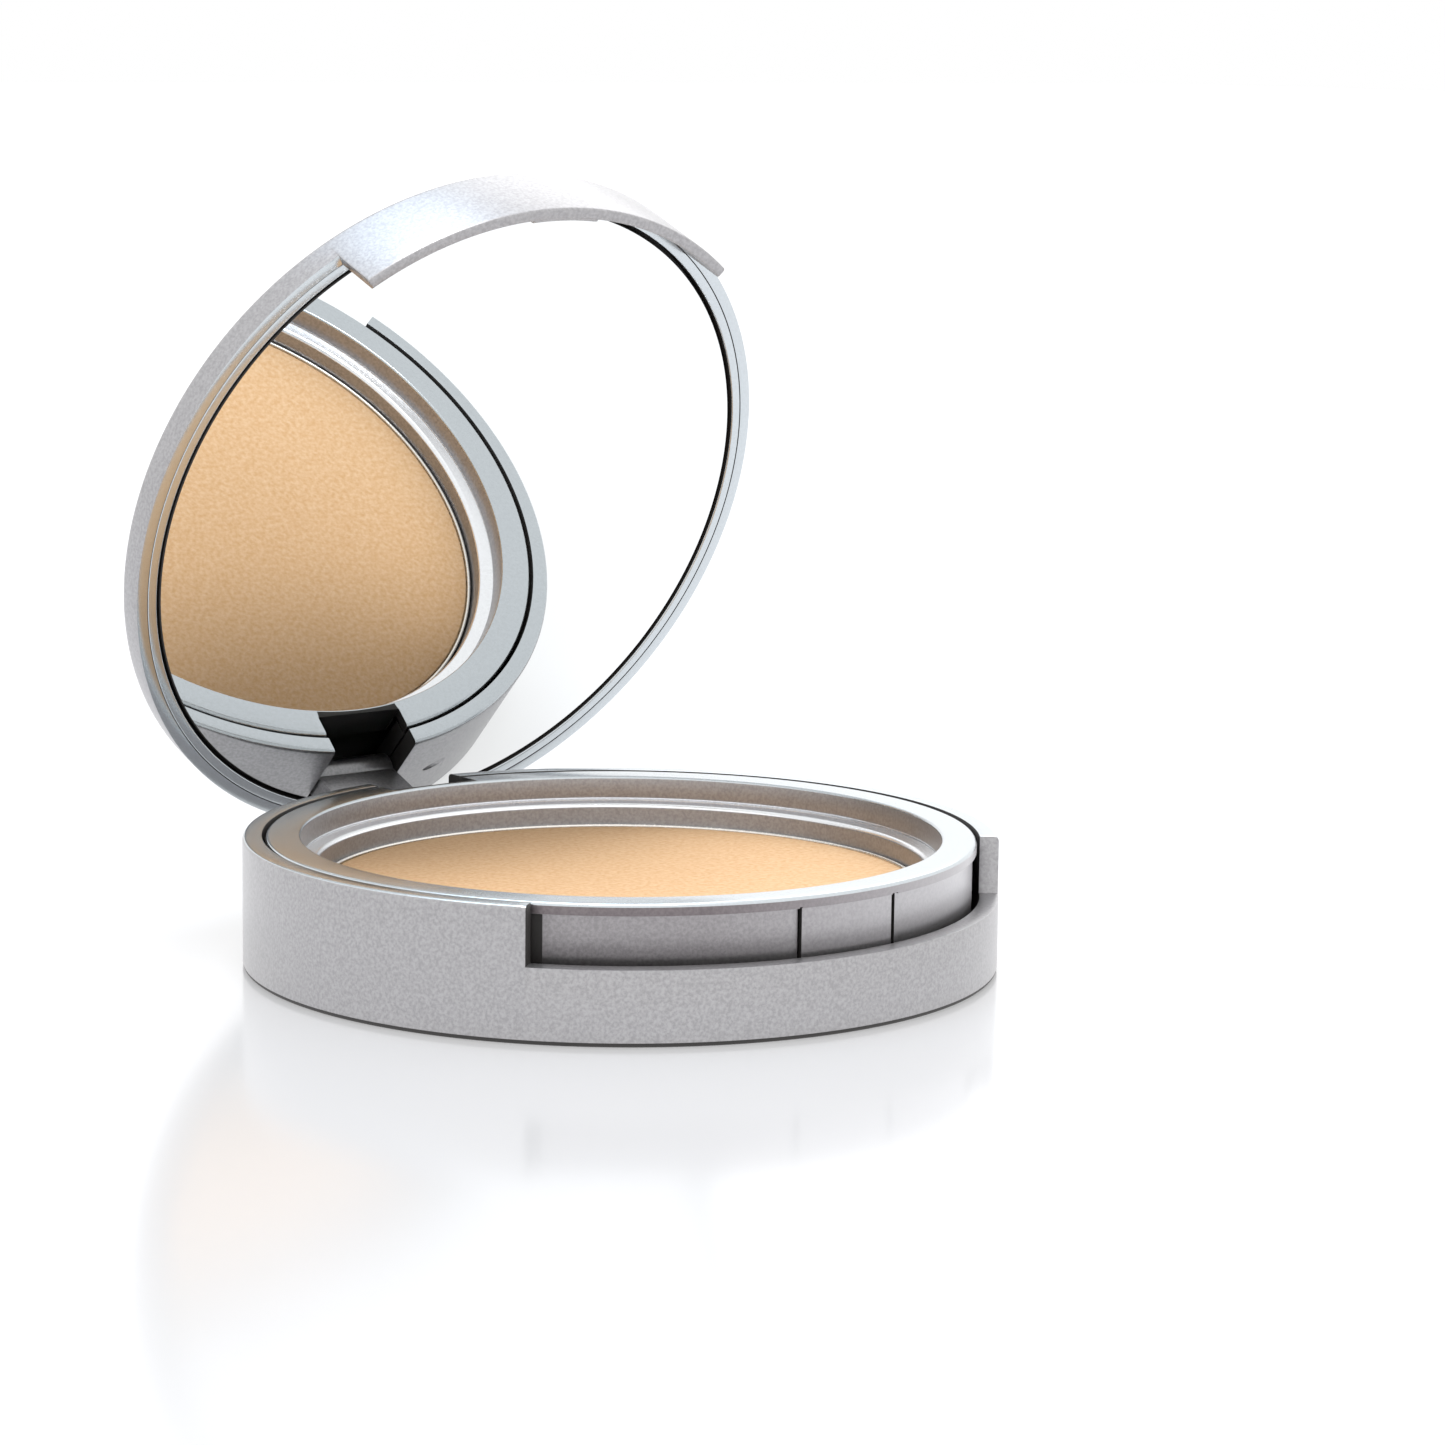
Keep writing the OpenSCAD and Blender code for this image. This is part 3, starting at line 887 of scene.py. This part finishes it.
CAMERA_AZIMUTH = math.radians(-38.942)
CAMERA_ELEVATION = math.radians(9.302)
CAMERA_ROLL = math.radians(-0.721)
CAMERA_DISTANCE = 366.7 * MM
CAMERA_LENS = 106.9
CAMERA_AIM_RIGHT = 8.56 * MM
CAMERA_AIM_UP = -8.23 * MM
CAMERA_AIM_HEIGHT = 29.25 * MM
SURROUND = 0.98                            # light from the world where the camera doesn't see it
SURROUND_GLOSS = 0.42                      # what reflections see on top of that
TABLE_HALF = 4.0                           # half the table's width, in metres
TABLE_DROP = 0.03 * MM                     # how far the table lies below the base
TABLE_GLOW = 0.50                          # the table's own light
TABLE_GLOW_GLOSS = 0.38                    # what reflections see on top of that
LAMPS = (("top", (0.03, 0.25, 0.76), (0.35, 0.35), 1.2, (0.62, 0.81, 1.0)),
         ("overhead", (-0.02, -0.05, 0.80), (0.22, 0.22), 2.2, (1.0, 1.0, 1.0)),
         ("back_right", (0.50, 0.35, 0.52), (0.45, 0.45), 0.9, (1.0, 1.0, 1.0)))


def place_camera():
    """The camera, looking past the front left of the compact."""
    a, e = CAMERA_AZIMUTH, CAMERA_ELEVATION
    back = Vector((math.sin(a) * math.cos(e), -math.cos(a) * math.cos(e), math.sin(e)))
    right = Vector((math.cos(a), math.sin(a), 0.0))
    up = back.cross(right)
    aim = (Vector((0.0, 0.0, CAMERA_AIM_HEIGHT)) + right * CAMERA_AIM_RIGHT
           + up * CAMERA_AIM_UP)
    tilt = Matrix.Rotation(-CAMERA_ROLL, 3, back)
    right, up = tilt @ right, tilt @ up
    camera = bpy.data.cameras.new("camera")
    camera.lens = CAMERA_LENS
    camera.sensor_width = 36.0
    camera.clip_start = 0.01
    camera.clip_end = 20.0
    holder = linked("camera", camera)
    turn = Matrix((right, up, back)).transposed()
    holder.matrix_world = Matrix.Translation(aim + back * CAMERA_DISTANCE) @ turn.to_4x4()
    bpy.context.scene.camera = holder


def softbox(name, place, size, power, tint, aim=(0.0, 0.0, 0.02)):
    """A rectangular lamp that looks at the compact; power is in watts."""
    lamp = bpy.data.lights.new(name, "AREA")
    lamp.shape = "RECTANGLE"
    lamp.size, lamp.size_y = size
    lamp.energy = power
    lamp.color = tint
    holder = linked(name, lamp)
    holder.location = place
    holder.rotation_mode = "QUATERNION"
    holder.rotation_quaternion = (Vector(place) - Vector(aim)).to_track_quat("Z", "Y")


def light_world():
    """White for the camera and in reflections, and a plain level of light elsewhere."""
    looks = bpy.context.scene.compact_looks
    world = bpy.data.worlds.new("studio")
    bpy.context.scene.world = world
    f = Finish(world)
    rays = f.node("ShaderNodeLightPath")
    seen = rays.wire("Is Camera Ray") + rays.wire("Is Transmission Ray")
    seen = f.node("ShaderNodeMath", {"operation": "MINIMUM"}, {0: seen, 1: 1.0}).wire("Value")
    glossy = rays.wire("Is Glossy Ray")
    level = seen * looks.backdrop + (1.0 - seen) * (SURROUND + glossy * SURROUND_GLOSS)
    shade = f.node("ShaderNodeBackground", {}, {"Color": (1.0, 1.0, 1.0), "Strength": level})
    f.node("ShaderNodeOutputWorld", {}, {"Surface": shade.wire("Background")})


def white_floor():
    """A pale glossy table that keeps the compact's shadow."""
    f = material("table")
    haze = f.noise(f.place(), 0.02, 2.0)
    lit = f.node("ShaderNodeBsdfDiffuse", {}, {"Color": (0.36, 0.36, 0.37), "Roughness": 0.0})
    mirrored = f.node("ShaderNodeLightPath").wire("Is Glossy Ray")
    glow = f.node("ShaderNodeEmission", {}, {
        "Color": (1.0, 1.0, 1.0), "Strength": TABLE_GLOW + mirrored * TABLE_GLOW_GLOSS})
    body = f.node("ShaderNodeAddShader", {}, {0: lit.wire("BSDF"), 1: glow.wire("Emission")})
    gloss = f.node("ShaderNodeBsdfGlossy", {}, {
        "Color": (1.0, 1.0, 1.0), "Roughness": 0.13 + haze * 0.03})
    fresnel = f.node("ShaderNodeFresnel", {}, {"IOR": 1.6}).wire("Fac")
    mixed = f.node("ShaderNodeMixShader", {}, {
        0: fresnel, 1: body.wire("Shader"), 2: gloss.wire("BSDF")})
    f.node("ShaderNodeOutputMaterial", {}, {"Surface": mixed.wire("Shader")})
    return f.owner


def build_stage():
    """Table, lamps, world and camera."""
    scene = bpy.context.scene
    scene.view_settings.view_transform = "Standard"
    scene.cycles.caustics_reflective = False
    shape = bmesh.new()
    bmesh.ops.create_grid(shape, x_segments=1, y_segments=1, size=TABLE_HALF)
    mesh = bpy.data.meshes.new("table")
    shape.to_mesh(mesh)
    shape.free()
    mesh.transform(Matrix.Translation((0.0, 0.0, -TABLE_DROP)))
    table = linked("table", mesh)
    mesh.materials.append(white_floor())
    for lamp in LAMPS:
        softbox(*lamp)
    light_world()
    place_camera()


# ---------------------------------------------------------------- operators and panel

class COMPACT_OT_base(bpy.types.Operator):
    """Turn and cut the base's shell"""
    bl_idname = "compact.base_shell"
    bl_label = "Base Shell"
    bl_options = {"REGISTER", "UNDO"}

    def execute(self, context):
        build_base_shell()
        return {"FINISHED"}


class COMPACT_OT_insert(bpy.types.Operator):
    """Turn the insert with its latch"""
    bl_idname = "compact.insert"
    bl_label = "Pan Insert"
    bl_options = {"REGISTER", "UNDO"}

    def execute(self, context):
        build_insert()
        return {"FINISHED"}


class COMPACT_OT_pan(bpy.types.Operator):
    """Turn the pan"""
    bl_idname = "compact.pan"
    bl_label = "Powder Pan"
    bl_options = {"REGISTER", "UNDO"}

    def execute(self, context):
        build_pan()
        return {"FINISHED"}


class COMPACT_OT_powder(bpy.types.Operator):
    """Press the powder"""
    bl_idname = "compact.powder"
    bl_label = "Pressed Powder"
    bl_options = {"REGISTER", "UNDO"}

    def execute(self, context):
        build_powder()
        return {"FINISHED"}


class COMPACT_OT_lid(bpy.types.Operator):
    """Turn the lid with its lip and tongue"""
    bl_idname = "compact.lid_shell"
    bl_label = "Lid Shell"
    bl_options = {"REGISTER", "UNDO"}

    def execute(self, context):
        build_lid_shell()
        return {"FINISHED"}


class COMPACT_OT_ring(bpy.types.Operator):
    """Turn the mirror's frame"""
    bl_idname = "compact.mirror_frame"
    bl_label = "Mirror Frame"
    bl_options = {"REGISTER", "UNDO"}

    def execute(self, context):
        build_mirror_frame()
        return {"FINISHED"}


class COMPACT_OT_mirror(bpy.types.Operator):
    """Cut the mirror"""
    bl_idname = "compact.mirror"
    bl_label = "Mirror"
    bl_options = {"REGISTER", "UNDO"}

    def execute(self, context):
        build_mirror()
        return {"FINISHED"}


class COMPACT_OT_small(bpy.types.Operator):
    """Finish the small pieces"""
    bl_idname = "compact.small_parts"
    bl_label = "Pads, Label and Pin"
    bl_options = {"REGISTER", "UNDO"}

    def execute(self, context):
        finish_cad_nodes()
        return {"FINISHED"}


class COMPACT_OT_stage(bpy.types.Operator):
    """Set out the table, the lamps and the camera"""
    bl_idname = "compact.stage"
    bl_label = "Stage"
    bl_options = {"REGISTER", "UNDO"}

    def execute(self, context):
        build_stage()
        return {"FINISHED"}


OPERATORS = (COMPACT_OT_base, COMPACT_OT_insert, COMPACT_OT_pan,
             COMPACT_OT_powder, COMPACT_OT_lid, COMPACT_OT_ring,
             COMPACT_OT_mirror, COMPACT_OT_small, COMPACT_OT_stage)


class COMPACT_PT_panel(bpy.types.Panel):
    """Lists the compact's pieces and their sizes."""
    bl_label = "Powder Compact"
    bl_idname = "COMPACT_PT_panel"
    bl_space_type = "VIEW_3D"
    bl_region_type = "UI"
    bl_category = "Compact"

    def draw(self, context):
        column = self.layout.column()
        for item in OPERATORS:
            column.operator(item.bl_idname)
        for name, group in GROUPS:
            box = self.layout.box()
            box.label(text=group.__doc__)
            for field in group.__annotations__:
                box.prop(getattr(context.scene, name), field)


CLASSES = tuple(group for name, group in GROUPS) + OPERATORS + (COMPACT_PT_panel,)


def register():
    for item in CLASSES:
        bpy.utils.register_class(item)
    for name, group in GROUPS:
        setattr(bpy.types.Scene, name, PointerProperty(type=group))


def unregister():
    for name, group in GROUPS:
        delattr(bpy.types.Scene, name)
    for item in reversed(CLASSES):
        bpy.utils.unregister_class(item)


def main():
    register()
    for item in OPERATORS:
        section, call = item.bl_idname.split(".")
        getattr(getattr(bpy.ops, section), call)()


if __name__ == "__main__":
    main()
